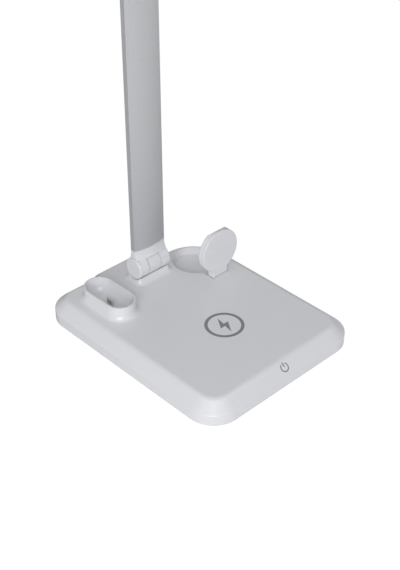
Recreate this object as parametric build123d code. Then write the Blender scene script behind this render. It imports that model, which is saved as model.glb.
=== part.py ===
from build123d import *
import math
import os

# Desk lamp on a charging base: a phone plate with a cup for an earphone case at the
# rear left, a fold-up watch puck at the rear right, and a folding arm with a long
# light bar. Millimetres. Origin: centre of the base on the desk. +X is right seen
# from the front, +Y points to the back, +Z is up. The arm stands up and the bar
# points forward.

# ---- driving dimensions ------------------------------------------------------
base_w = 156.0            # width of the base
base_d = 194.5            # depth of the base
base_h = 17.8             # height of its flat top
base_lift = 0.6           # gap between the shell's rim and the desk
slope_drop = 8.54         # how far the slope falls from the flat top to the side wall
slope_in = 9.66           # how far the slope runs in
wall = 2.2                # wall of the base shell
corner_r = 22.8           # plan corners
watch_corner_r = 0.2487 * base_w    # large plan corner beside the watch puck
back_step = 12.65         # the back edge stands forward by this behind the puck
bump_out = 3.4            # the back edge swells by this behind the lamp hinge
bump_past_left, bump_past_right = 9.9, 1.5    # how far the swell runs past the arm
bump_run, step_run = 8.0, 8.0     # width of the ramps beside the swell
bump_r, step_r = 4.0, 5.0         # their plan corners
crease_r = 6.0            # rounding at the top of the slope
shoulder_r = 1.0          # rounding at its foot

fit_gap = 0.15            # clearance between parts that are set into each other
run_gap = 0.05            # radial clearance of a pin that turns

cup_in_x, cup_in_y = 32.7, 44.75    # earphone case cup, from the left and back edges
cup_len, cup_w = 50.0, 24.6
cup_wall = 1.4
cup_up, cup_sink = 11.3, 1.8  # its rim above the flat top, and its floor below
cup_floor_r = 7.0             # rounding inside, around the floor
cup_foot_r = 4.5              # rounding outside, at its foot
plug_w, plug_t, plug_h = 6.7, 1.5, 6.8
plug_body_w, plug_body_d, plug_body_h = 8.0, 12.0, 1.6
plug_board_w, plug_board_d, plug_board_t = 16.0, 24.0, 1.2

arm_x = 4.7                   # middle of the arm
arm_w = 31.6
arm_edge_t = 4.4              # thickness at the arm's edges
arm_mid_t = 9.2               # thickness at its middle
arm_wall = 1.4
hinge_in = 33.85              # lamp hinge, from the back edge
hinge_up = 11.8               # its axis above the flat top
arm_reach = 340.0             # from the lamp hinge to the head hinge
joint_len = 17.2              # from a hinge to the end of the aluminium
hinge_r = 9.25
cap_t = 3.0                   # thickness of a hinge cap
knuckle_w = 11.8              # width of the middle knuckle
knuckle_gap = 0.9             # beside the knuckle, for the friction washer
washer_t = 0.6
washer_r = 8.8
shaft_r = 4.0
shaft_head_r, shaft_head_t = 6.2, 2.0
spigot_len = 20.0
fork_root_up, fork_neck_up = 4.0, 11.0    # the arm end narrows between these heights
fork_root_in, fork_neck_out = 0.8, 0.8    # and its edges there, inside the hinge's round
                                          # and outside the aluminium
stem_d = 11.0                 # depth of the stem under a knuckle
flange_w, flange_d, flange_t = 30.0, 24.0, 3.0    # foot of the lamp hinge's knuckle
bracket_dx, bracket_dy = 11.0, 8.0                # its screws from its middle
lip_up = 5.1                  # the trough's lip above the flat top
trough_gap = 0.35             # between the trough and what turns in it
pedestal_r, pedestal_foot_r = 3.0, 4.5
arm_cable_r = 1.6
arm_screw_r, arm_screw_len = 1.2, 3.0
arm_screw_head_r, arm_screw_head_t = 2.4, 0.9

bar_len = 280.0               # light bar, from the hinge axis to its tip
bar_w, bar_t = 33.0, 11.0
bar_wall = 1.4
bar_off = 15.4                # bar's middle above its hinge
bar_tail = 9.0                # bar's length behind its hinge
bar_cap_t = 3.0
bar_corner = 3.0
bar_block_len = 14.0          # solid block in the housing, in front of the hinge
led_count = 24
led_size, led_h = 2.8, 0.8
led_in = 8.0                  # first diode from the end of the housing
led_board_w, led_board_t = 22.0, 1.6
diffuser_t = 1.6
ledge_w, ledge_t = 1.2, 1.2   # ledges that hold the diffuser

puck_in_x = 32.0              # middle of the puck from the right edge
puck_r = 18.9
puck_t = 5.8
puck_in_y = 75.85             # plane of the upright charging face, from the back edge
pivot_sink = 4.0              # its pin below the flat top
puck_reach = 27.0             # from the pin to the middle of the disc
puck_face_t = 1.6
puck_foot_w = 15.8
puck_neck_r = 2.0             # rounding where the disc meets its foot
recess_neck_r = 4.0           # and where the recess meets the foot's slot
puck_wall = 1.4
puck_gap = 0.6                # around the folded puck
puck_pin_r = 1.5
puck_under = 0.5              # below the folded puck
notch_w, notch_h = 18.0, 3.4  # fingertip notch at the top of the puck's back
watch_core_r, watch_ferrite_t = 16.0, 0.8
watch_coil_r, watch_hole_r, watch_coil_t = 15.0, 6.0, 1.4

cover_t = 2.6
pad_t = 1.2
pad_in = 24.0                 # the pad's edge inside the base's edge
pad_r = 10.0
plate_t = 3.0                 # ballast plate
plate_x, plate_in = 3.0, 52.25     # its middle, from the back edge
plate_w, plate_d = 96.0, 62.0
coil_x, coil_in = 3.0, 69.25       # its middle, from the front edge
coil_r, coil_hole_r, coil_t = 22.0, 9.0, 1.6
ferrite_r, ferrite_t = 25.0, 1.0
tray_r, tray_t = 27.0, 1.4
tray_post_at = 20.0
board_in_x, board_in_y = 43.0, 45.25     # its middle, from the left and front edges
board_w, board_d, board_t = 46.0, 60.0, 1.6
board_up = 3.8                # the board's posts
board_post_in = 4.0           # their middles, from its edges
chip_h = 3.0                  # tallest component on the board
post_r = 3.0
boss_r, boss_in = 3.4, 14.0   # screw bosses, from the edges
hinge_boss_left, hinge_boss_in = 12.7, 8.5    # the one behind the lamp hinge
screw_r, screw_head_r, screw_head_t = 1.45, 2.8, 1.4
screw_grip = 7.0              # how far the cover's screws reach above it
inlet_in = 26.0               # middle of the inlet from the left edge
inlet_w, inlet_h, inlet_len = 9.0, 3.3, 7.5
inlet_wall, inlet_r = 0.45, 1.2
inlet_rest_w = 12.0           # the rest under it
tongue_w, tongue_t = 6.4, 0.7
touch_up = 4.14               # the touch spot above the foot of the front slope
touch_r, touch_t = 6.0, 0.3

os.makedirs("parts", exist_ok=True)


def save(shape, node):
    export_step(shape, "parts/" + node + ".step")


def box(x0, x1, y0, y1, z0, z1):
    return Pos((x0 + x1) / 2, (y0 + y1) / 2, (z0 + z1) / 2) * Box(x1 - x0, y1 - y0, z1 - z0)


def disc(x, y, z0, z1, r):
    return Pos(x, y, (z0 + z1) / 2) * Cylinder(r, z1 - z0)


def rod(x0, x1, y, z, r):
    return Pos((x0 + x1) / 2, y, z) * Rot(0, 90, 0) * Cylinder(r, x1 - x0)


def group(solids):
    return Compound(children=list(solids))


# ---- base shell --------------------------------------------------------------
front, back = -base_d / 2, base_d / 2
side = base_w / 2
shoulder_h = base_h - slope_drop
cup_x, cup_y = -side + cup_in_x, back - cup_in_y
cup_rim, cup_floor = base_h + cup_up, base_h - cup_sink
axis_y, axis_z = back - hinge_in, base_h + hinge_up
pedestal_lip = base_h + lip_up
puck_x, puck_front = side - puck_in_x, back - puck_in_y
puck_pivot_z = base_h - pivot_sink
plate_y, coil_y = back - plate_in, front + coil_in
board_x, board_y = -side + board_in_x, front + board_in_y
inlet_x = -side + inlet_in
bump_left = arm_x - arm_w / 2 - bump_past_left
bump_right = arm_x + arm_w / 2 + bump_past_right


def plan(inset):
    """The base's outline, moved in by inset on every side."""
    left, right = -side + inset, side - inset
    near, far = front + inset, back - inset
    step = back - back_step - inset
    bump = back + bump_out - inset
    points = [(left, near), (right, near), (right, step), (bump_right + step_run, step),
              (bump_right, bump), (bump_left, bump), (bump_left - bump_run, far), (left, far)]
    radii = [corner_r - inset, corner_r - inset, watch_corner_r - inset, step_r + inset / 4,
             step_r, bump_r, step_r, corner_r - inset]
    return make_face(FilletPolyline(*points, radius=radii, close=True))


def bowl(inset, bottom, top):
    """The base's body: upright wall, slope, then a flat top."""
    knee = top - slope_drop
    lower = extrude(Pos(0, 0, bottom) * plan(inset), knee - bottom)
    rims = [Pos(0, 0, knee) * plan(inset), Pos(0, 0, top) * plan(inset + slope_in)]
    return lower + loft(rims, ruled=True)


def stadium(x, y, length, width):
    return Pos(x, y) * Rot(0, 0, 90) * SlotOverall(length, width)


def pick(shape, z, centre, half):
    """The edges of shape at height z inside a square about centre."""
    found = []
    for edge in shape.edges():
        b = edge.bounding_box()
        level = abs(b.min.Z - z) < 0.01 and abs(b.max.Z - z) < 0.01
        if level and abs(b.center().X - centre[0]) < half and abs(b.center().Y - centre[1]) < half:
            found.append(edge)
    return found


cover_z = base_lift + cover_t                 # top of the bottom cover
ceiling = base_h - wall                       # underside of the flat top
hinge_half = arm_w / 2 + 0.35                 # half the hinge's length with its caps
ear_out = hinge_half - cap_t                  # outer face of an ear
trough_r = hinge_r + trough_gap
lip_y = math.sqrt(trough_r ** 2 - (axis_z - pedestal_lip) ** 2)
pedestal_half = lip_y + 1.0
puck_pivot_y = puck_front + puck_t / 2
recess_y = puck_pivot_y + puck_reach
recess_r = puck_r + puck_gap
recess_floor = puck_pivot_z - puck_t / 2 - puck_under
basin_t = 1.8
slot_half = puck_foot_w / 2 + 0.7
slot_front = puck_front - 0.4
bosses = [(-side + boss_in, front + boss_in), (side - boss_in, front + boss_in),
          (-side + boss_in, 0), (side - boss_in, puck_front),
          (-side + boss_in, back - boss_in), (arm_x - hinge_boss_left, back - hinge_boss_in)]

outer = bowl(0, base_lift, base_h)
knee_edges = [e for e in outer.edges() if abs(e.center().Z - shoulder_h) < 0.01]
outer = fillet(knee_edges, shoulder_r)
outer = fillet(outer.edges().group_by(Axis.Z)[-1], crease_r)
cup_plan = stadium(cup_x, cup_y, cup_len, cup_w)
cup_block = extrude(Pos(0, 0, base_h - 1) * cup_plan, cup_rim - base_h + 1)
pedestal = box(arm_x - hinge_half, arm_x + hinge_half, axis_y - pedestal_half,
               axis_y + pedestal_half, base_h - 1, pedestal_lip)
pedestal = fillet(pedestal.edges().filter_by(Axis.Z), pedestal_r)
shell = outer + cup_block + pedestal
shell = fillet(pick(shell, base_h, (cup_x, cup_y), cup_len / 2 + 1), cup_foot_r)
shell = fillet(pick(shell, base_h, (arm_x, axis_y), hinge_half + 1), pedestal_foot_r)
shell -= bowl(wall, base_lift - 1, ceiling)
shell += extrude(Pos(0, 0, cup_floor - wall) * cup_plan, ceiling - cup_floor + wall + 1)
basin = disc(puck_x, recess_y, recess_floor - basin_t, ceiling + 1, recess_r + 1.8)
basin += box(puck_x - slot_half - 2, puck_x + slot_half + 2, slot_front - 1.8, recess_y,
             recess_floor - basin_t, ceiling + 1)
for x, y in bosses:
    basin += disc(x, y, cover_z, ceiling + 1, boss_r)
shell += basin & outer
cup_bore = extrude(Pos(0, 0, cup_floor) * stadium(cup_x, cup_y, cup_len - 2 * cup_wall,
                                                  cup_w - 2 * cup_wall),
                   cup_rim - cup_floor + 1)
cup_bore = fillet(cup_bore.edges().group_by(Axis.Z)[0], cup_floor_r)
shell -= cup_bore
shell -= box(cup_x - plug_t / 2 - 0.3, cup_x + plug_t / 2 + 0.3, cup_y - plug_w / 2 - 0.3,
             cup_y + plug_w / 2 + 0.3, cup_floor - wall - 1, cup_floor + 1)
recess = disc(puck_x, recess_y, recess_floor, base_h + 1, recess_r)
recess += box(puck_x - slot_half, puck_x + slot_half, slot_front, recess_y,
              recess_floor, base_h + 1)
neck_y = recess_y - math.sqrt(recess_r ** 2 - slot_half ** 2)
neck = [e for e in recess.edges().filter_by(Axis.Z) if abs(e.center().Y - neck_y) < 0.01]
shell -= fillet(neck, recess_neck_r)
shell -= rod(puck_x - slot_half - 1.4, puck_x + slot_half + 1.4, puck_pivot_y, puck_pivot_z,
             puck_pin_r + 0.02)
shell -= rod(arm_x - hinge_half - 4, arm_x + hinge_half + 4, axis_y, axis_z, trough_r)
shell -= box(arm_x - knuckle_w / 2 - 0.4, arm_x + knuckle_w / 2 + 0.4, axis_y - stem_d / 2 - 0.4,
             axis_y + stem_d / 2 + 0.4, ceiling - 1, axis_z)
for x, y in bosses:
    shell -= disc(x, y, cover_z - 1, cover_z + screw_grip + 1, screw_r + run_gap)
inlet_z = cover_z + 1.8 + inlet_h / 2
shell -= box(inlet_x - inlet_w / 2 - 0.3, inlet_x + inlet_w / 2 + 0.3, back - wall - 3, back + 1,
             inlet_z - inlet_h / 2 - 0.3, inlet_z + inlet_h / 2 + 0.3)
save(shell, "base_top_shell")

# ---- bottom of the base ------------------------------------------------------
pad_w, pad_d = base_w - 2 * pad_in, base_d - 2 * pad_in
cover = extrude(Pos(0, 0, base_lift) * plan(wall + fit_gap), cover_t)
cover -= extrude(RectangleRounded(pad_w + 0.4, pad_d + 0.4, pad_r), pad_t)
board_low = cover_z + board_up
for sx in (-1, 1):
    for sy in (-1, 1):
        cover += disc(board_x + sx * (board_w / 2 - board_post_in),
                      board_y + sy * (board_d / 2 - board_post_in), cover_z - 1, board_low,
                      post_r)
cover += box(inlet_x - inlet_rest_w / 2, inlet_x + inlet_rest_w / 2, back - wall - inlet_len,
             back - wall - 2, cover_z - 1, inlet_z - inlet_h / 2)
screws = []
for x, y in bosses:
    cover -= disc(x, y, 0, cover_z + 1, screw_r + fit_gap)
    cover -= disc(x, y, 0, base_lift + screw_head_t + 0.2, screw_head_r + fit_gap)
    head_low = base_lift + 0.2
    screws.append(disc(x, y, head_low, head_low + screw_head_t, screw_head_r)
                  + disc(x, y, head_low + screw_head_t, cover_z + screw_grip, screw_r))
save(cover, "bottom_cover")
save(group(screws), "cover_screws")
save(extrude(RectangleRounded(pad_w, pad_d, pad_r), pad_t), "non_slip_pad")

flange_low = cover_z + plate_t
bracket_screws = []
bracket_at = [(arm_x + sx * bracket_dx, axis_y + sy * bracket_dy)
              for sx in (-1, 1) for sy in (-1, 1)]
plate = box(plate_x - plate_w / 2, plate_x + plate_w / 2, plate_y - plate_d / 2,
            plate_y + plate_d / 2, cover_z, flange_low)
knuckle = rod(arm_x - knuckle_w / 2, arm_x + knuckle_w / 2, axis_y, axis_z, hinge_r)
knuckle += box(arm_x - knuckle_w / 2, arm_x + knuckle_w / 2, axis_y - stem_d / 2,
               axis_y + stem_d / 2, flange_low, axis_z)
knuckle += box(arm_x - flange_w / 2, arm_x + flange_w / 2, axis_y - flange_d / 2,
               axis_y + flange_d / 2, flange_low, flange_low + flange_t)
knuckle -= rod(arm_x - knuckle_w, arm_x + knuckle_w, axis_y, axis_z, shaft_r + run_gap)
for x, y in bracket_at:
    plate -= disc(x, y, cover_z - 1, flange_low + 1, screw_r + run_gap)
    knuckle -= disc(x, y, flange_low - 1, flange_low + flange_t + 1, screw_r + fit_gap)
    top = flange_low + flange_t
    bracket_screws.append(disc(x, y, cover_z, top, screw_r)
                          + disc(x, y, top, top + screw_head_t, screw_head_r))
save(plate, "ballast_plate")
save(knuckle, "lamp_hinge_knuckle")
save(group(bracket_screws), "bracket_screws")

# ---- charging parts and board ------------------------------------------------
coil_top = ceiling - 0.2
ferrite_top = coil_top - coil_t
tray_top = ferrite_top - ferrite_t
ring = disc(coil_x, coil_y, ferrite_top, coil_top, coil_r)
save(ring - disc(coil_x, coil_y, 0, base_h, coil_hole_r), "phone_coil")
save(disc(coil_x, coil_y, tray_top, ferrite_top, ferrite_r), "phone_ferrite")
tray = disc(coil_x, coil_y, tray_top - tray_t, tray_top, tray_r)
for turn in range(3):
    angle = math.radians(30 + 120 * turn)
    tray += disc(coil_x + tray_post_at * math.cos(angle),
                 coil_y + tray_post_at * math.sin(angle), cover_z,
                 tray_top - tray_t / 2, post_r)
save(tray, "coil_tray")

board_top = board_low + board_t
save(box(board_x - board_w / 2, board_x + board_w / 2, board_y - board_d / 2,
         board_y + board_d / 2, board_low, board_top), "main_board")
chips = []
# Middle and size of each chip and coil, as shares of the board, and its height as a share
# of the tallest.
for x, y, w, d, h in ((-0.26, 0.30, 0.15, 0.12, 0.33), (0.09, 0.30, 0.22, 0.17, 0.93),
                      (-0.26, 0.03, 0.17, 0.13, 0.40), (0.13, 0.00, 0.11, 0.08, 0.33),
                      (-0.22, -0.23, 0.20, 0.15, 1.0), (0.17, -0.27, 0.13, 0.13, 0.47)):
    chips.append(box(board_x + (x - w / 2) * board_w, board_x + (x + w / 2) * board_w,
                     board_y + (y - d / 2) * board_d, board_y + (y + d / 2) * board_d,
                     board_top, board_top + h * chip_h))
save(group(chips), "board_components")

slope_angle = math.atan(slope_drop / slope_in)
spot_y = front + wall + touch_up / math.tan(slope_angle)
spot = Pos(0, spot_y, shoulder_h + touch_up - wall) * Rot(math.degrees(slope_angle), 0, 0)
save(spot * Pos(0, 0, -touch_t / 2 - run_gap) * Cylinder(touch_r, touch_t), "touch_electrode")

inlet = box(inlet_x - inlet_w / 2, inlet_x + inlet_w / 2, back - wall - inlet_len, back - 0.4,
            inlet_z - inlet_h / 2, inlet_z + inlet_h / 2)
inlet = fillet(inlet.edges().filter_by(Axis.Y), inlet_r)
mouth_w, mouth_h = inlet_w - 2 * inlet_wall, inlet_h - 2 * inlet_wall
inlet -= box(inlet_x - mouth_w / 2, inlet_x + mouth_w / 2, back - wall - inlet_len + 1, back,
             inlet_z - mouth_h / 2, inlet_z + mouth_h / 2)
inlet += box(inlet_x - tongue_w / 2, inlet_x + tongue_w / 2, back - wall - inlet_len + 0.5,
             back - 1.2, inlet_z - tongue_t / 2, inlet_z + tongue_t / 2)
save(inlet, "power_inlet")

plug_low = cup_floor - wall - plug_body_h
plug = box(cup_x - plug_t / 2, cup_x + plug_t / 2, cup_y - plug_w / 2, cup_y + plug_w / 2,
           plug_low, cup_floor + plug_h)
plug = fillet(plug.edges().group_by(Axis.Z)[-1], 0.5)
plug += box(cup_x - plug_body_w / 2, cup_x + plug_body_w / 2, cup_y - plug_body_d / 2,
            cup_y + plug_body_d / 2, plug_low, cup_floor - wall)
save(plug, "earphone_plug")
save(box(cup_x - plug_board_w / 2, cup_x + plug_board_w / 2, cup_y - plug_board_d / 2,
         cup_y + plug_board_d / 2, plug_low - plug_board_t, plug_low), "earphone_plug_board")


# ---- lamp hinge and arm ------------------------------------------------------
def lens(width, edge_t, mid_t, z):
    """The arm's section: flat edges, and a front and back that swell gently."""
    w, e, m = width / 2, edge_t / 2, mid_t / 2
    outline = [Line((-w, e), (-w, -e)), ThreePointArc((-w, -e), (0, -m), (w, -e)),
               Line((w, -e), (w, e)), ThreePointArc((w, e), (0, m), (-w, e))]
    return Pos(0, 0, z) * make_face(Wire(outline))


def arm_section(inset, z):
    return lens(arm_w - 2 * inset, arm_edge_t - 2 * inset, arm_mid_t - 2 * inset, z)


def fork():
    """An arm end about its hinge axis, with the arm pointing up from it."""
    root_t, neck_t = 2 * (hinge_r - fork_root_in), arm_edge_t + 2 * fork_neck_out
    body = loft([lens(arm_w, root_t, root_t + 0.6, fork_root_up),
                 lens(arm_w, neck_t, arm_mid_t + 1.0, fork_neck_up),
                 arm_section(0, joint_len)])
    body += rod(-arm_w / 2, arm_w / 2, 0, 0, hinge_r)
    body += extrude(arm_section(arm_wall + fit_gap, joint_len), spigot_len)
    slots = [(-knuckle_w / 2 - knuckle_gap, knuckle_w / 2 + knuckle_gap),
             (-arm_w, -ear_out), (ear_out, arm_w)]
    for x0, x1 in slots:
        body -= box(x0, x1, -arm_w, arm_w, -arm_w, hinge_r - 0.65)
        body -= rod(x0, x1, 0, 0, hinge_r + 0.5)
    body -= rod(-arm_w, arm_w, 0, 0, shaft_r + 0.02)
    for sx in (-1, 1):
        inner = ear_out - shaft_head_t - 0.4
        body -= rod(min(sx * inner, sx * arm_w), max(sx * inner, sx * arm_w), 0, 0,
                    shaft_head_r + fit_gap)
    screw_hole = Rot(90, 0, 0) * Cylinder(arm_screw_r + 0.05, arm_w)
    body -= Pos(0, 0, joint_len + spigot_len / 2) * screw_hole
    return body


def hinge_set(place, name):
    """Shaft, nut, friction washers and caps of a hinge, in the fork's own frame."""
    seat = ear_out - shaft_head_t - 0.4
    shaft = rod(-seat, ear_out - 0.5, 0, 0, shaft_r)
    shaft += rod(-seat - shaft_head_t, -seat, 0, 0, shaft_head_r)
    nut = rod(seat, seat + shaft_head_t, 0, 0, shaft_head_r)
    nut -= rod(0, arm_w, 0, 0, shaft_r + 0.02)
    middle = knuckle_w / 2 + knuckle_gap / 2
    washers = []
    for sx in (-1, 1):
        washer = rod(sx * middle - washer_t / 2, sx * middle + washer_t / 2, 0, 0, washer_r)
        washers.append(washer - rod(-arm_w, arm_w, 0, 0, shaft_r + 0.02))
        cap = rod(min(sx * ear_out, sx * hinge_half), max(sx * ear_out, sx * hinge_half),
                  0, 0, hinge_r)
        cap = fillet(cap.edges().sort_by(Axis.X)[-1 if sx > 0 else 0], 1.1)
        save(place * cap, name + ("_cap_right" if sx > 0 else "_cap_left"))
    save(place * shaft, name + "_shaft")
    save(place * nut, name + "_nut")
    save(group([place * washer for washer in washers]), name + "_washers")


head_z = axis_z + arm_reach
lamp_hinge = Pos(arm_x, axis_y, axis_z)
head_hinge = Pos(arm_x, axis_y, head_z) * Rot(0, 180, 0)
save(lamp_hinge * fork(), "arm_foot")
save(head_hinge * fork(), "arm_top_joint")
hinge_set(lamp_hinge, "lamp_hinge")
hinge_set(head_hinge, "head_hinge")

tube_low, tube_high = axis_z + joint_len, head_z - joint_len
tube = extrude(arm_section(0, 0), tube_high - tube_low)
tube -= extrude(arm_section(arm_wall, 0), tube_high - tube_low)
arm_screws = []
for z in (spigot_len / 2, tube_high - tube_low - spigot_len / 2):
    through = Rot(90, 0, 0) * Cylinder(arm_screw_r + 0.1, 4 * arm_wall)
    shank = Rot(90, 0, 0) * Cylinder(arm_screw_r, arm_screw_len)
    screw_head = Rot(90, 0, 0) * Cylinder(arm_screw_head_r, arm_screw_head_t)
    tube -= Pos(0, arm_mid_t / 2, z) * through
    screw = Pos(0, (arm_mid_t - arm_screw_len) / 2, z) * shank
    screw += Pos(0, (arm_mid_t + arm_screw_head_t) / 2, z) * screw_head
    arm_screws.append(Pos(arm_x, axis_y, tube_low) * screw)
save(Pos(arm_x, axis_y, tube_low) * tube, "arm_tube")
save(group(arm_screws), "arm_screws")
save(disc(arm_x, axis_y, tube_low + spigot_len, tube_high - spigot_len, arm_cable_r),
     "arm_cable")

# ---- light bar ---------------------------------------------------------------
bar_z = head_z + bar_off
bar_low, bar_high = bar_z - bar_t / 2, bar_z + bar_t / 2
bar_front, bar_back = axis_y - bar_len, axis_y + bar_tail
half = bar_w / 2


def bar_block(y0, y1, r):
    block = box(arm_x - half, arm_x + half, y0, y1, bar_low, bar_high)
    return fillet(block.edges().filter_by(Axis.Y), r)


body_front, body_back = bar_front + bar_cap_t, bar_back - bar_cap_t
block_front = axis_y - bar_block_len
inner_half = half - bar_wall
housing = bar_block(body_front, body_back, bar_corner)
housing -= box(arm_x - inner_half, arm_x + inner_half, body_front - 1, body_back + 1,
               bar_low - 1, bar_high - bar_wall)
ledge_low = bar_low + 0.3 + diffuser_t
for sx in (-1, 1):
    x = arm_x + sx * (inner_half - ledge_w / 2 + 0.1)
    housing += box(x - ledge_w / 2, x + ledge_w / 2, body_front, block_front, ledge_low,
                   ledge_low + ledge_t)
save(housing, "bar_housing")
for y0, y1, node in ((bar_front, body_front, "bar_front_cap"),
                     (body_back, bar_back, "bar_rear_cap")):
    cap = bar_block(y0, y1, bar_corner)
    rim = cap.edges().group_by(Axis.Y)[0 if node == "bar_front_cap" else -1]
    save(fillet(rim, 1.0), node)
save(box(arm_x - inner_half + fit_gap, arm_x + inner_half - fit_gap, body_front, block_front,
         bar_low + 0.3, ledge_low), "bar_diffuser")
led_top = bar_high - bar_wall - led_board_t
save(box(arm_x - led_board_w / 2, arm_x + led_board_w / 2, body_front + led_in / 4,
         block_front, led_top, bar_high - bar_wall), "led_board")
leds = []
pitch = (block_front - body_front - 2 * led_in) / (led_count - 1)
for n in range(led_count):
    y = body_front + led_in + n * pitch
    leds.append(box(arm_x - led_size / 2, arm_x + led_size / 2, y - led_size / 2,
                    y + led_size / 2, led_top - led_h, led_top))
save(group(leds), "leds")
bracket = rod(arm_x - knuckle_w / 2, arm_x + knuckle_w / 2, axis_y, head_z, hinge_r)
bracket += box(arm_x - knuckle_w / 2, arm_x + knuckle_w / 2, axis_y - stem_d / 2,
               axis_y + stem_d / 2, head_z, bar_low + 1)
bracket += box(arm_x - inner_half + fit_gap, arm_x + inner_half - fit_gap, block_front,
               body_back, bar_low + 0.3, bar_high - bar_wall)
bracket -= rod(arm_x - knuckle_w, arm_x + knuckle_w, axis_y, head_z, shaft_r + run_gap)
save(bracket, "bar_knuckle")

# ---- watch puck --------------------------------------------------------------
puck_z = puck_pivot_z + puck_reach
puck_back = puck_front + puck_t
seam_y = puck_front + puck_face_t


def puck_disc(y0, y1, r):
    return Pos(puck_x, (y0 + y1) / 2, puck_z) * Rot(90, 0, 0) * Cylinder(r, y1 - y0)


def puck_body(y0, y1, z0):
    """The disc and its foot down to z0, rounded where they meet."""
    slab = box(puck_x - puck_foot_w / 2, puck_x + puck_foot_w / 2, y0, y1, z0, puck_z)
    body = puck_disc(y0, y1, puck_r) + slab
    neck_z = puck_z - math.sqrt(puck_r ** 2 - (puck_foot_w / 2) ** 2)
    neck = [e for e in body.edges().filter_by(Axis.Y) if abs(e.center().Z - neck_z) < 0.01]
    return fillet(neck, puck_neck_r)


seam_z = base_h - 0.6         # under the flat top, so that the seam doesn't show
face = puck_body(puck_front, seam_y, seam_z)
face = fillet(face.edges().group_by(Axis.Y)[0].filter_by(GeomType.CIRCLE), 0.6)
save(face, "watch_puck_face")
rear = puck_body(seam_y, puck_back, puck_pivot_z)
rear += box(puck_x - puck_foot_w / 2, puck_x + puck_foot_w / 2, puck_front, puck_back,
            puck_pivot_z, seam_z)
rear += rod(puck_x - puck_foot_w / 2, puck_x + puck_foot_w / 2, puck_pivot_y, puck_pivot_z,
            puck_t / 2)
rear -= puck_disc(seam_y - 0.01, puck_back - puck_wall, puck_r - puck_wall)
rear -= rod(puck_x - puck_r, puck_x + puck_r, puck_pivot_y, puck_pivot_z,
            puck_pin_r + run_gap)
notch_in = puck_t - puck_face_t + 0.6
notch = make_face(Polyline((0, 0), (notch_in, 0), (notch_in, -notch_h), close=True))
notch = extrude(Plane.YZ * notch, notch_w / 2, both=True)
rear -= Pos(puck_x, seam_y, puck_z + puck_r + 0.4) * notch
save(rear, "watch_puck_back")
core_back = puck_back - puck_wall
coil_back = core_back - watch_ferrite_t
coil_front = coil_back - watch_coil_t
save(puck_disc(coil_back, core_back, watch_core_r), "watch_ferrite")
save(puck_disc(coil_front, coil_back, watch_coil_r)
     - puck_disc(coil_front - 1, coil_back + 1, watch_hole_r), "watch_coil")
save(rod(puck_x - slot_half - 1.3, puck_x + slot_half + 1.3, puck_pivot_y, puck_pivot_z,
         puck_pin_r), "watch_hinge_pin")
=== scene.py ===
import math

import bmesh
import bpy
from mathutils import Matrix, Vector


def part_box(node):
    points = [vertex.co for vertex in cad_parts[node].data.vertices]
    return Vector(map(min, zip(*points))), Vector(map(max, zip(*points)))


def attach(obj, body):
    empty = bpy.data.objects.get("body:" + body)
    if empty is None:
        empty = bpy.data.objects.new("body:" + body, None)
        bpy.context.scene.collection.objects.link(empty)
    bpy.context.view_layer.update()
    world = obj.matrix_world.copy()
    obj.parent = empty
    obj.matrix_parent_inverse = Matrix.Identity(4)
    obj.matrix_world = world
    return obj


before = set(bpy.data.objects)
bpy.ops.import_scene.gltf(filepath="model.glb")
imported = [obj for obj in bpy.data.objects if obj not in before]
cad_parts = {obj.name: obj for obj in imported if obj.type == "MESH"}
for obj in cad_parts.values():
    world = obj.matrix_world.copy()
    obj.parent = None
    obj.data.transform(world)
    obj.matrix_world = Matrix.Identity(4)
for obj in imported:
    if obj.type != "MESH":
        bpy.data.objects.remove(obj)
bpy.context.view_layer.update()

# A desk lamp on a charging base, dressed for the photograph: white moulded plastic, a satin
# aluminium arm, and the parts inside that make it work. Metres, in the CAD frame: +X right,
# -Y to the front, +Z up.
mm = 0.001


# ---- Base shell, cup and recess --------------------------------------------------------------
# The top of the base is one moulding of white ABS, with the earphone cup, the hinge
# pedestal and the watch puck's recess moulded in. The mould was polished, so the skin is
# glossy with a trace of orange peel, and its edges are a little rounded.
def linear(hex_code):
    """sRGB hex to the linear colour that a shader takes."""
    parts = [int(hex_code[i:i + 2], 16) / 255 for i in (1, 3, 5)]
    return [p / 12.92 if p <= 0.04045 else ((p + 0.055) / 1.055) ** 2.4 for p in parts] + [1]


def add_node(tree, kind, links=None, **settings):
    """Adds a node. links gives a value or another node's output for each input."""
    node = tree.nodes.new(kind)
    for name, value in settings.items():
        setattr(node, name, value)
    for name, value in (links or {}).items():
        if isinstance(value, bpy.types.NodeSocket):
            tree.links.new(value, node.inputs[name])
        else:
            node.inputs[name].default_value = value
    return node


def new_material(name):
    """An empty material, its node tree and its Object coordinates."""
    material = bpy.data.materials.new(name)
    material.use_nodes = True
    tree = material.node_tree
    tree.nodes.clear()
    place = add_node(tree, "ShaderNodeTexCoord").outputs["Object"]
    return material, tree, place


def surface(tree, shader):
    add_node(tree, "ShaderNodeOutputMaterial", {"Surface": shader.outputs[0]})


def dress(material, *nodes):
    """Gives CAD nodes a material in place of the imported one."""
    for node in nodes:
        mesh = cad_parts[node].data
        mesh.materials.clear()
        mesh.materials.append(material)


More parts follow.
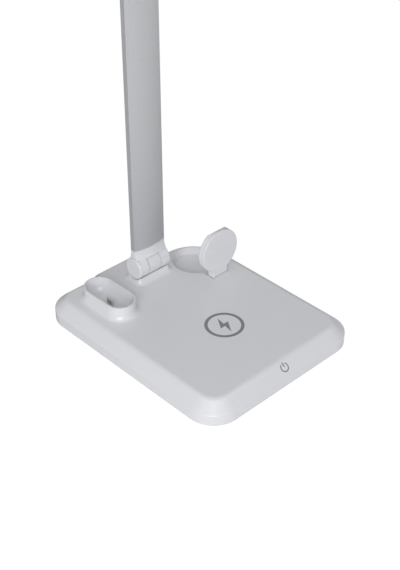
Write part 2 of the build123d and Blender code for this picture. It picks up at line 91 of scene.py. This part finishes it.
def moulded_plastic(name, pale, deep, roughness, grain_mm, depth_mm, edge_mm):
    """Moulded plastic: a slow drift of tone from the melt, a grain from the mould's
    surface, and edges softened by the mould's own radius."""
    melt_mm = 38              # size of the drifts of tone
    material, tree, place = new_material(name)
    melt = add_node(tree, "ShaderNodeTexNoise", {"Vector": place,
                                                 "Scale": 1 / (melt_mm * mm),
                                                 "Detail": 3.0, "Roughness": 0.4})
    tone = add_node(tree, "ShaderNodeMix", {"Factor": melt.outputs["Fac"],
                                            "A": linear(deep), "B": linear(pale)},
                    data_type="RGBA")
    grain = add_node(tree, "ShaderNodeTexNoise", {"Vector": place,
                                                  "Scale": 1 / (grain_mm * mm),
                                                  "Detail": 2.0})
    shine = add_node(tree, "ShaderNodeMapRange",
                     {"Value": grain.outputs["Fac"], "To Min": roughness - 0.05,
                      "To Max": roughness + 0.05})
    edge = add_node(tree, "ShaderNodeBevel", {"Radius": edge_mm * mm}, samples=6)
    skin = add_node(tree, "ShaderNodeBump",
                    {"Height": grain.outputs["Fac"], "Strength": 0.5,
                     "Distance": depth_mm * mm, "Normal": edge.outputs["Normal"]})
    shader = add_node(tree, "ShaderNodeBsdfPrincipled",
                      {"Base Color": tone.outputs["Result"], "IOR": 1.53,
                       "Roughness": shine.outputs["Result"],
                       "Normal": skin.outputs["Normal"]})
    surface(tree, shader)
    return material


# Moulded ABS from a polished mould: a cool clean white that mirrors its surroundings.
white_abs = moulded_plastic("white_abs_polished", "#E5E6EA", "#E3E4E8", 0.11, 4.0, 0.0001,
                            0.5)
dress(white_abs, "base_top_shell")


# ---- Bottom cover, its screws and the pad ----------------------------------------------------
# The cover is plain ABS with a coarser texture, held up into the shell by six screws. A
# silicone pad is stuck into it so that the lamp doesn't slide, with small moulded dots.
cover_abs = moulded_plastic("cover_abs_coarse", "#D3D3D2", "#CBCBCA", 0.58, 1.1, 0.05, 0.3)
dress(cover_abs, "bottom_cover")


def dotted_silicone():
    """Moulded silicone: dull and dark, with raised dots that grip the desk."""
    dot_pitch_mm, dust_mm = 2.4, 6
    material, tree, place = new_material("grey_silicone_dotted")
    dots = add_node(tree, "ShaderNodeTexVoronoi",
                    {"Vector": place, "Scale": 1 / (dot_pitch_mm * mm), "Randomness": 0.0})
    dust = add_node(tree, "ShaderNodeTexNoise", {"Vector": place,
                                                 "Scale": 1 / (dust_mm * mm),
                                                 "Detail": 4.0})
    tone = add_node(tree, "ShaderNodeMix", {"Factor": dust.outputs["Fac"],
                                            "A": linear("#4C4E50"), "B": linear("#5E6062")},
                    data_type="RGBA")
    raised = add_node(tree, "ShaderNodeBump",
                      {"Height": dots.outputs["Distance"], "Strength": 0.8,
                       "Distance": 0.2 * mm}, invert=True)
    shader = add_node(tree, "ShaderNodeBsdfPrincipled",
                      {"Base Color": tone.outputs["Result"], "Roughness": 0.72, "IOR": 1.41,
                       "Normal": raised.outputs["Normal"]})
    surface(tree, shader)
    return material


dress(dotted_silicone(), "non_slip_pad")


def worked_metal(name, pale, deep, roughness, grain_mm, depth_mm, edge_mm, metallic=1.0):
    """Metal with a fine grain, such as plating, rolling scale or blasting leaves. The
    three grain sizes are along X, Y and Z."""
    material, tree, place = new_material(name)
    lie = add_node(tree, "ShaderNodeMapping",
                   {"Vector": place, "Scale": [1 / (size * mm) for size in grain_mm]})
    grain = add_node(tree, "ShaderNodeTexNoise", {"Vector": lie.outputs["Vector"],
                                                  "Scale": 1.0, "Detail": 3.0})
    tone = add_node(tree, "ShaderNodeMix", {"Factor": grain.outputs["Fac"],
                                            "A": linear(deep), "B": linear(pale)},
                    data_type="RGBA")
    shine = add_node(tree, "ShaderNodeMapRange",
                     {"Value": grain.outputs["Fac"], "To Min": roughness - 0.06,
                      "To Max": roughness + 0.06})
    edge = add_node(tree, "ShaderNodeBevel", {"Radius": edge_mm * mm}, samples=6)
    skin = add_node(tree, "ShaderNodeBump",
                    {"Height": grain.outputs["Fac"], "Strength": 0.4,
                     "Distance": depth_mm * mm, "Normal": edge.outputs["Normal"]})
    shader = add_node(tree, "ShaderNodeBsdfPrincipled",
                      {"Base Color": tone.outputs["Result"], "Metallic": metallic,
                       "Roughness": shine.outputs["Result"],
                       "Normal": skin.outputs["Normal"]})
    surface(tree, shader)
    return material


# Zinc-plated steel: grey with a soft, slightly mottled shine.
zinc_steel = worked_metal("zinc_plated_steel", "#B4B6B9", "#9A9DA1", 0.34, (1.4, 1.4, 1.4),
                          0.01, 0.15)
dress(zinc_steel, "cover_screws", "bracket_screws", "arm_screws", "watch_hinge_pin",
      "lamp_hinge_shaft", "lamp_hinge_nut", "head_hinge_shaft", "head_hinge_nut")


# ---- Ballast plate ---------------------------------------------------------------------------
# A slab of hot-rolled steel lies on the bottom cover under the hinge and keeps the lamp
# upright. The rolling left it dark and lightly streaked along its length.
rolled_steel = worked_metal("hot_rolled_steel", "#6A6C70", "#505256", 0.5, (9.0, 1.2, 1.2),
                            0.03, 0.3)
dress(rolled_steel, "ballast_plate")


# ---- Charging coils --------------------------------------------------------------------------
# Each coil is a flat spiral of enamelled copper strand on a black ferrite disc. The phone's
# sits on a plastic tray under the flat top, and the watch's in the puck.
wave_period = 2 * math.pi / 20      # metres after which a Wave texture of scale 1 repeats


def wound_copper(name, node, about, turn_mm):
    """Enamelled copper strand wound flat about the node's middle, one ring a turn."""
    low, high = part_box(node)
    centre = (low + high) / 2
    material, tree, place = new_material(name)
    middle = add_node(tree, "ShaderNodeMapping", {"Vector": place, "Location": -centre})
    turns = add_node(tree, "ShaderNodeTexWave",
                     {"Vector": middle.outputs["Vector"],
                      "Scale": wave_period / (turn_mm * mm), "Distortion": 0.0},
                     wave_type="RINGS", rings_direction=about)
    tone = add_node(tree, "ShaderNodeMix", {"Factor": turns.outputs["Fac"],
                                            "A": linear("#6B3A1E"), "B": linear("#C07A45")},
                    data_type="RGBA")
    strand = add_node(tree, "ShaderNodeBump", {"Height": turns.outputs["Fac"],
                                               "Strength": 0.8, "Distance": 0.3 * mm})
    shader = add_node(tree, "ShaderNodeBsdfPrincipled",
                      {"Base Color": tone.outputs["Result"], "Metallic": 1.0,
                       "Roughness": 0.35, "Normal": strand.outputs["Normal"]})
    surface(tree, shader)
    return material


dress(wound_copper("phone_coil_copper", "phone_coil", "Z", 1.2), "phone_coil")
dress(wound_copper("watch_coil_copper", "watch_coil", "Y", 0.8), "watch_coil")


def sintered_ferrite():
    """Sintered ferrite: near black, dull, with the hairline cracks of its small tiles."""
    tile_mm = 3
    material, tree, place = new_material("black_ferrite_sintered")
    tiles = add_node(tree, "ShaderNodeTexVoronoi",
                     {"Vector": place, "Scale": 1 / (tile_mm * mm)},
                     feature="DISTANCE_TO_EDGE")
    crack = add_node(tree, "ShaderNodeMapRange", {"Value": tiles.outputs["Distance"],
                                                  "From Max": 0.05})
    tone = add_node(tree, "ShaderNodeMix", {"Factor": crack.outputs["Result"],
                                            "A": linear("#141416"), "B": linear("#2C2D31")},
                    data_type="RGBA")
    shader = add_node(tree, "ShaderNodeBsdfPrincipled",
                      {"Base Color": tone.outputs["Result"], "Roughness": 0.6, "IOR": 1.6})
    surface(tree, shader)
    return material


dress(sintered_ferrite(), "phone_ferrite", "watch_ferrite")
dress(cover_abs, "coil_tray")


# ---- Circuit boards and what is on them ------------------------------------------------------
# The main board, the small board under the earphone plug and the light bar's strip are
# glass epoxy with a lacquer over copper tracks. The touch electrode is a copper-clad disc.
def lacquered_board(name, lacquer, track):
    """Lacquered circuit board: tracks show as paler lines under the glossy lacquer."""
    track_mm, row_mm, line_mm = 7, 1.8, 0.3
    material, tree, place = new_material(name)
    tracks = add_node(tree, "ShaderNodeTexBrick",
                      {"Vector": place, "Color1": linear(lacquer), "Color2": linear(lacquer),
                       "Mortar": linear(track), "Scale": 1.0, "Mortar Size": line_mm * mm,
                       "Brick Width": track_mm * mm, "Row Height": row_mm * mm})
    lines = add_node(tree, "ShaderNodeBump", {"Height": tracks.outputs["Fac"],
                                              "Strength": 0.4, "Distance": 0.05 * mm})
    shader = add_node(tree, "ShaderNodeBsdfPrincipled",
                      {"Base Color": tracks.outputs["Color"], "Roughness": 0.3, "IOR": 1.5,
                       "Normal": lines.outputs["Normal"]})
    surface(tree, shader)
    return material


dress(lacquered_board("green_lacquered_board", "#1F5A37", "#3C7B4E"), "main_board",
      "earphone_plug_board")
dress(lacquered_board("white_lacquered_board", "#DADBD6", "#C6C7BF"), "led_board")
dress(worked_metal("copper_clad_disc", "#B87A4E", "#A56A40", 0.4, (2.0, 2.0, 2.0), 0.01,
                   0.1), "touch_electrode")
# Moulded epoxy: black and dull, with a trace of the mould's grain.
black_epoxy = moulded_plastic("black_epoxy_moulded", "#2A2B2D", "#222325", 0.5, 0.5, 0.02,
                              0.2)
dress(black_epoxy, "board_components")


# ---- Sockets, plug and cable -----------------------------------------------------------------
# The inlet at the back is a drawn steel shell for a flat reversible plug. The earphone plug
# in the cup has the same blunt form, and a thin black cable runs up inside the arm.
bright_steel = worked_metal("drawn_bright_steel", "#A9ABAE", "#97999C", 0.28,
                            (1.0, 1.0, 1.0), 0.01, 0.2)
dress(bright_steel, "power_inlet")
# The plug is plated with satin nickel, paler than the shell of the inlet.
satin_nickel = worked_metal("satin_nickel_plated", "#DCDBD6", "#CBCAC5", 0.4, (1.0, 1.0, 1.0),
                            0.01, 0.1, metallic=0.5)
dress(satin_nickel, "earphone_plug")
dress(black_epoxy, "arm_cable")


def add_piece(name, mesh, material, place, body):
    """Makes an object of a bmesh that was shaped about the origin, then puts it in place."""
    bmesh.ops.remove_doubles(mesh, verts=mesh.verts, dist=1e-7)
    bmesh.ops.recalc_face_normals(mesh, faces=mesh.faces)
    bmesh.ops.transform(mesh, matrix=place, verts=mesh.verts)
    data = bpy.data.meshes.new(name)
    mesh.to_mesh(data)
    mesh.free()
    data.materials.append(material)
    piece = bpy.data.objects.new(name, data)
    bpy.context.scene.collection.objects.link(piece)
    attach(piece, body)
    return piece


# The plug's contacts lie in a black insert on each broad face, eight tinned strips a side.
plug_low, plug_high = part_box("earphone_plug")
plug_middle = (plug_low + plug_high) / 2
plug_t = 1.5 * mm             # thickness of its blade
contact_size = Vector((0.12 * mm, 0.28 * mm, 2.0 * mm))
contact_pitch = 0.48 * mm
contact_count = 8
contact_drop = 2.6 * mm       # middle of the contacts below the plug's tip
insert_size = Vector((0.08 * mm, 4.3 * mm, 2.8 * mm))


def add_blocks(name, size, at, edge, material):
    """Small blocks with rounded edges, one at each place, as one piece."""
    blocks = bmesh.new()
    for middle in at:
        block = bmesh.ops.create_cube(blocks, size=1.0)["verts"]
        bmesh.ops.scale(blocks, verts=block, vec=size)
        bmesh.ops.translate(blocks, verts=block, vec=middle)
    bmesh.ops.bevel(blocks, geom=blocks.edges[:], offset=edge, offset_type="OFFSET",
                    affect="EDGES", segments=2, profile=0.5, material=-1)
    return add_piece(name, blocks, material, Matrix.Identity(4), "base")


tinned = worked_metal("tinned_contact", "#E2E1DC", "#D2D1CC", 0.35, (0.5, 0.5, 0.5), 0.002,
                      0.02, metallic=0.5)
contact_z = plug_high.z - contact_drop
faces = [plug_middle.x - plug_t / 2, plug_middle.x + plug_t / 2]
rows = [plug_middle.y + (n - (contact_count - 1) / 2) * contact_pitch
        for n in range(contact_count)]
add_blocks("plug_inserts", insert_size, [(x, plug_middle.y, contact_z) for x in faces],
           0.02 * mm, black_epoxy)
add_blocks("plug_contacts", contact_size, [(x, y, contact_z) for x in faces for y in rows],
           0.02 * mm, tinned)


# ---- Arm hinges ------------------------------------------------------------------------------
# Each end of the arm is a forked ABS moulding about a fixed middle knuckle, with a pressed
# cap on each side. The knuckle and the friction washers beside it are glass-filled nylon,
# stronger and a little duller.
dress(white_abs, "arm_foot", "arm_top_joint", "lamp_hinge_cap_left",
      "lamp_hinge_cap_right", "head_hinge_cap_left", "head_hinge_cap_right")
knuckle_nylon = moulded_plastic("pale_glass_nylon", "#E4E5E8", "#DDDEE1", 0.42, 0.7, 0.02,
                                0.4)
dress(knuckle_nylon, "lamp_hinge_knuckle", "bar_knuckle", "lamp_hinge_washers",
      "head_hinge_washers")


# ---- Arm tube and light bar housing ----------------------------------------------------------
# Both are extruded aluminium, blasted with beads and anodised clear. It gives a silver
# satin with a fine speckle, drawn at 0.7 mm so that it shows.
# The pitted oxide skin scatters much of the light before it reaches the metal, hence the
# metallic value of under a half.
dress(worked_metal("satin_anodised_aluminium", "#CFD1D4", "#B5B6B9", 0.48, (0.7, 0.7, 0.7),
                   0.004, 0.3, metallic=0.45), "arm_tube", "bar_housing")
dress(white_abs, "bar_front_cap", "bar_rear_cap")


# ---- Diffuser and light diodes ---------------------------------------------------------------
# The diffuser slides into the housing under the diodes. It is extruded opal acrylic with a
# matt face. The diodes are square, with a yellow phosphor window.
def opal_acrylic():
    """Opal acrylic: milky, lets light through, with faint ribs across the bar."""
    rib_mm, cloud_mm = 1.5, 25
    material, tree, place = new_material("opal_acrylic_extruded")
    ribs = add_node(tree, "ShaderNodeTexWave",
                    {"Vector": place, "Scale": wave_period / (rib_mm * mm)},
                    wave_type="BANDS", bands_direction="X")
    cloud = add_node(tree, "ShaderNodeTexNoise", {"Vector": place, "Scale": 1 / (cloud_mm * mm)})
    tone = add_node(tree, "ShaderNodeMix", {"Factor": cloud.outputs["Fac"],
                                            "A": linear("#EDEDEA"), "B": linear("#F3F3F1")},
                    data_type="RGBA")
    face = add_node(tree, "ShaderNodeBump", {"Height": ribs.outputs["Fac"],
                                             "Strength": 0.3, "Distance": 0.05 * mm})
    shader = add_node(tree, "ShaderNodeBsdfPrincipled",
                      {"Base Color": tone.outputs["Result"], "Roughness": 0.45, "IOR": 1.49,
                       "Transmission Weight": 0.25, "Normal": face.outputs["Normal"]})
    surface(tree, shader)
    return material


def phosphor_window():
    """Silicone with yellow phosphor: dull yellow, a little uneven."""
    settle_mm = 1
    material, tree, place = new_material("yellow_phosphor")
    settle = add_node(tree, "ShaderNodeTexNoise", {"Vector": place,
                                                   "Scale": 1 / (settle_mm * mm)})
    tone = add_node(tree, "ShaderNodeMix", {"Factor": settle.outputs["Fac"],
                                            "A": linear("#E0C85A"), "B": linear("#EEDC82")},
                    data_type="RGBA")
    shader = add_node(tree, "ShaderNodeBsdfPrincipled",
                      {"Base Color": tone.outputs["Result"], "Roughness": 0.4, "IOR": 1.41})
    surface(tree, shader)
    return material


dress(opal_acrylic(), "bar_diffuser")
dress(phosphor_window(), "leds")


# ---- Watch puck ------------------------------------------------------------------------------
# Two white ABS mouldings, face and back, closed over the coil. The foot turns on a steel
# pin in the recess, and the notch at the top is for a fingertip.
dress(white_abs, "watch_puck_face", "watch_puck_back")


# ---- Charging mark on the phone plate --------------------------------------------------------
# Pad printed in grey ink, a generic ring with a lightning bolt that shows where the phone
# goes. The ink is a few hundredths of a millimetre thick.
plate_top = 17.8 * mm
ink_up = 0.04 * mm           # how far the ink stands above the plastic
ink_down = 0.04 * mm         # and how far it reaches into it, so no gap shows
mark_at = Vector((0.7 * mm, -29.0 * mm, plate_top))
ring_out, ring_stroke = 15.5 * mm, 2.6 * mm
bolt_high = 19.0 * mm
bolt_outline = ((0.10, 0.50), (-0.27, -0.07), (-0.03, -0.07), (-0.10, -0.50), (0.27, 0.07),
                (0.03, 0.07))


def add_arc(mesh, radius, stroke, start, turn, steps):
    """A printed arc, of the stroke's width, about the origin in the XY plane."""
    section = [mesh.verts.new((x, 0, z)) for x, z in
               ((radius - stroke, -ink_down), (radius, -ink_down), (radius, ink_up),
                (radius - stroke, ink_up))]
    edges = [mesh.edges.new((section[i - 1], section[i])) for i in range(4)]
    bmesh.ops.rotate(mesh, verts=section, cent=(0, 0, 0), matrix=Matrix.Rotation(start, 3, "Z"))
    whole = abs(turn - 2 * math.pi) < 1e-6
    bmesh.ops.spin(mesh, geom=section + edges, cent=(0, 0, 0), axis=(0, 0, 1), dvec=(0, 0, 0),
                   angle=turn, steps=steps, use_merge=whole, use_duplicate=False)
    bmesh.ops.holes_fill(mesh, edges=[e for e in mesh.edges if e.is_boundary], sides=4)


def printed_ink():
    """Pad-printing ink: even and matt, thinner in places where the pad lifted."""
    lift_mm = 1.6
    material, tree, place = new_material("grey_pad_printed_ink")
    lift = add_node(tree, "ShaderNodeTexNoise", {"Vector": place,
                                                 "Scale": 1 / (lift_mm * mm),
                                                 "Detail": 3.0})
    tone = add_node(tree, "ShaderNodeMix", {"Factor": lift.outputs["Fac"],
                                            "A": linear("#82848A"), "B": linear("#8B8D92")},
                    data_type="RGBA")
    shader = add_node(tree, "ShaderNodeBsdfPrincipled",
                      {"Base Color": tone.outputs["Result"], "Roughness": 0.5, "IOR": 1.5})
    surface(tree, shader)
    return material


ink = printed_ink()
mark = bmesh.new()
add_arc(mark, ring_out, ring_stroke, 0, 2 * math.pi, 96)
corners = [mark.verts.new((x * bolt_high, y * bolt_high, -ink_down)) for x, y in bolt_outline]
face = mark.faces.new(corners)
top = bmesh.ops.extrude_face_region(mark, geom=[face])["geom"]
bmesh.ops.translate(mark, verts=[v for v in top if isinstance(v, bmesh.types.BMVert)],
                    vec=(0, 0, ink_down + ink_up))
add_piece("charging_mark", mark, ink, Matrix.Translation(mark_at), "base")


# ---- Power sign on the front slope -----------------------------------------------------------
# The same ink over the touch electrode, an open ring with a bar: touching it switches the
# lamp. It lies flat on the slope of the front edge.
slope_drop, slope_run = 8.54, 9.66      # the slope's fall and depth, in mm
slope_turn = math.atan2(slope_drop, slope_run)
sign_at = Vector((0.5 * mm, -92.1 * mm, 13.81 * mm))
sign_r, sign_stroke = 3.8 * mm, 0.95 * mm
sign_gap = math.radians(76)
sign_bar = Vector((0.95 * mm, 3.9 * mm, ink_down + ink_up))
sign_bar_out = 0.25 * mm      # the bar's end outside the ring

sign = bmesh.new()
add_arc(sign, sign_r, sign_stroke, math.pi / 2 + sign_gap / 2, 2 * math.pi - sign_gap, 48)
bar = bmesh.ops.create_cube(sign, size=1.0)["verts"]
bmesh.ops.scale(sign, verts=bar, vec=sign_bar)
bmesh.ops.translate(sign, verts=bar, vec=(0, sign_r + sign_bar_out - sign_bar.y / 2,
                                          (ink_up - ink_down) / 2))
add_piece("power_sign", sign, ink,
          Matrix.Translation(sign_at) @ Matrix.Rotation(slope_turn, 4, "X"), "base")


# ---- Floor, light and camera -----------------------------------------------------------------
# A pale floor that looks white to the camera and keeps a soft shadow, a pale even surround,
# and one large soft lamp from the front left, low enough to light the sides more than the
# flat top, as in the photograph. Two long windows show in the glossy front corner.
floor_half = 6.0              # metres, so that its edge stays out of the pictures
floor_mesh = bmesh.new()
bmesh.ops.create_grid(floor_mesh, x_segments=1, y_segments=1, size=floor_half)
floor_data = bpy.data.meshes.new("floor")
floor_mesh.to_mesh(floor_data)
floor_mesh.free()
floor = bpy.data.objects.new("floor", floor_data)
bpy.context.scene.collection.objects.link(floor)

# Shiny pieces see a painted fall-off of light on the paper, from the front to the back, as on a
# lit sweep.
sweep_front, sweep_back = -0.22, 0.06     # where the tone starts and stops falling, along Y
sweep_dark = 0.12                         # the share of it that is left at the back
paper_glow = 0.84
floor_paper, tree, place = new_material("pale_floor_paper")
path = add_node(tree, "ShaderNodeLightPath").outputs
along = add_node(tree, "ShaderNodeSeparateXYZ", {"Vector": place})
sweep = add_node(tree, "ShaderNodeMapRange",
                 {"Value": along.outputs["Y"], "From Min": sweep_front,
                  "From Max": sweep_back, "To Min": paper_glow,
                  "To Max": paper_glow * sweep_dark})
mirrored = add_node(tree, "ShaderNodeMath", {0: path["Is Glossy Ray"],
                                             1: path["Is Transmission Ray"]},
                    operation="MAXIMUM")
mirrored_glow = add_node(tree, "ShaderNodeMath", {0: mirrored.outputs[0],
                                                  1: sweep.outputs["Result"]},
                         operation="MULTIPLY")
seen_glow = add_node(tree, "ShaderNodeMath", {0: path["Is Camera Ray"], 1: paper_glow,
                                              2: mirrored_glow.outputs[0]},
                     operation="MULTIPLY_ADD")
seen = add_node(tree, "ShaderNodeMath", {0: mirrored.outputs[0], 1: path["Is Camera Ray"]},
                operation="MAXIMUM")
lit = add_node(tree, "ShaderNodeMix", {"Factor": seen.outputs[0], "A": linear("#E4E4E4"),
                                       "B": linear("#9A9A9A")}, data_type="RGBA")
paper = add_node(tree, "ShaderNodeBsdfDiffuse", {"Color": lit.outputs["Result"]})
glow = add_node(tree, "ShaderNodeEmission", {"Color": (1, 1, 1, 1),
                                             "Strength": seen_glow.outputs[0]})
surface(tree, add_node(tree, "ShaderNodeAddShader", {0: paper.outputs[0],
                                                     1: glow.outputs[0]}))
floor_data.materials.append(floor_paper)

surround_level = 0.445
world = bpy.data.worlds.new("pale_surround")
bpy.context.scene.world = world
world.use_nodes = True
sky = world.node_tree
sky.nodes.clear()
path = add_node(sky, "ShaderNodeLightPath").outputs
level = add_node(sky, "ShaderNodeMapRange", {"Value": path["Is Camera Ray"],
                                             "To Min": surround_level, "To Max": 1.0})
glow = add_node(sky, "ShaderNodeBackground", {"Color": (1, 1, 1, 1),
                                              "Strength": level.outputs["Result"]})
add_node(sky, "ShaderNodeOutputWorld", {"Surface": glow.outputs[0]})

target = Vector((0, 0, 0.03))     # what the lamps point at
lamp_far = 1.6


def add_lamp(name, turn, rise, width, height, watts):
    """A soft box that faces the object, turned from the front and raised, in degrees."""
    turn, rise = math.radians(turn), math.radians(rise)
    way = Vector((-math.cos(rise) * math.sin(turn), -math.cos(rise) * math.cos(turn),
                  math.sin(rise)))
    data = bpy.data.lights.new(name, "AREA")
    data.shape = "RECTANGLE"
    data.size, data.size_y = width, height
    data.energy = watts
    lamp = bpy.data.objects.new(name, data)
    bpy.context.scene.collection.objects.link(lamp)
    lamp.location = target + lamp_far * way
    lamp.rotation_euler = way.to_track_quat("Z", "Y").to_euler()
    lamp.visible_camera = False
    return lamp


add_lamp("soft_box", turn=49, rise=25, width=0.9, height=0.9, watts=14.2)
# The windows stand beside the camera. They show in shiny pieces and light nothing else.
for name, turn in (("window_right", 0), ("window_left", 88)):
    window = add_lamp(name, turn, rise=58, width=2.0, height=0.7, watts=3.6)
    window.visible_diffuse = False

camera_data = bpy.data.cameras.new("camera")
camera_data.sensor_fit = "VERTICAL"
camera_data.sensor_height = 36.0
camera_data.lens = 67.544
camera_down, camera_turn = 35.55, 43.69      # degrees
camera = bpy.data.objects.new("camera", camera_data)
bpy.context.scene.collection.objects.link(camera)
camera.location = (-0.46251, -0.48674, 0.52065)
camera.rotation_euler = (math.radians(90 - camera_down), 0, math.radians(-camera_turn))
bpy.context.scene.camera = camera
bpy.context.scene.view_settings.view_transform = "Standard"
